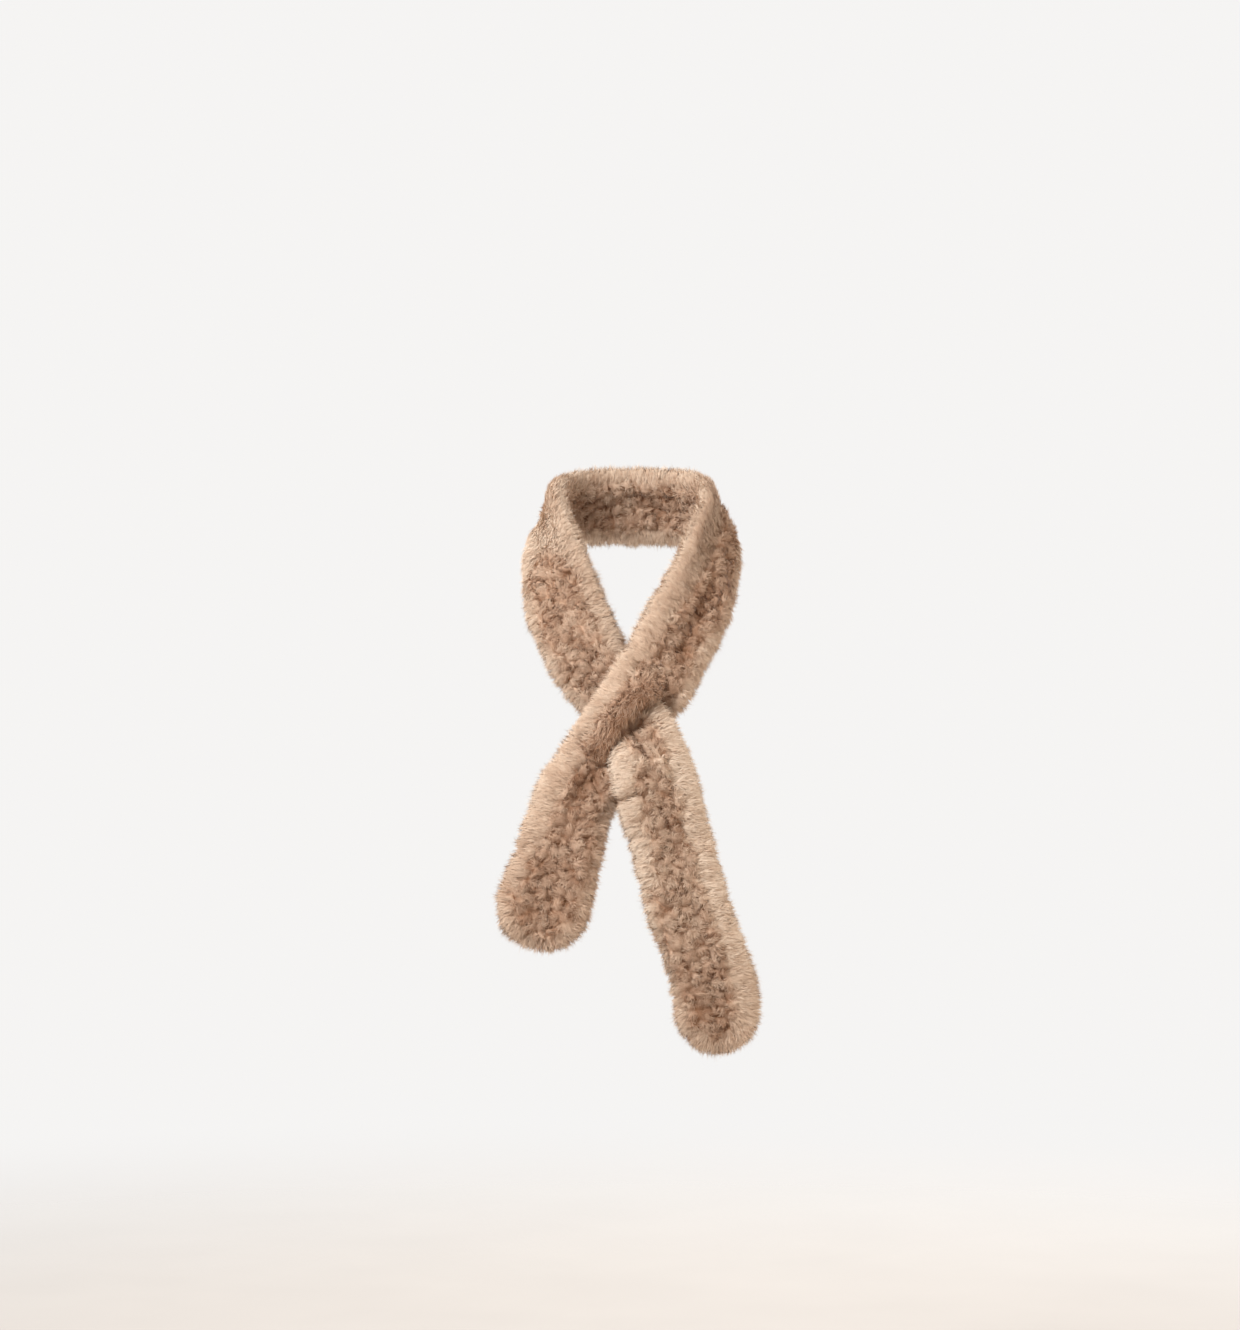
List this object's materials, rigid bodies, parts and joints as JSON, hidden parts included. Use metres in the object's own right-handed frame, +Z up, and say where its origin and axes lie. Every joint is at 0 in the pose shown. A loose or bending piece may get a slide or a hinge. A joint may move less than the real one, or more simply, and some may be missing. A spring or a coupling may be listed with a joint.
{
  "type": "fur collar wrap",
  "caption": "Pull-through neck wrap of chunky knitted plush fur with round ends, shaped as worn: the band goes round the neck and one tail comes out through a slot in the other.",
  "frame": {"origin": "on the band's inner face at the nape, where the back of the wearer's neck holds it", "axes": "+Z up, -Y the way the wearer looks, +X towards the wearer's left side"},
  "size_m": [0.1905, 0.2101, 0.4345],
  "materials": {
    "plush_fur": "soft, matte, dense warm taupe plush fur in tufted knit rows"
  },
  "bodies": {
    "root": {"short_tail": "plush_fur", "slot_over_band": "plush_fur", "slot_under_band": "plush_fur", "right_front": "plush_fur", "neck_band": "plush_fur", "left_front": "plush_fur", "long_tail": "plush_fur"}
  },
  "joints": []
}
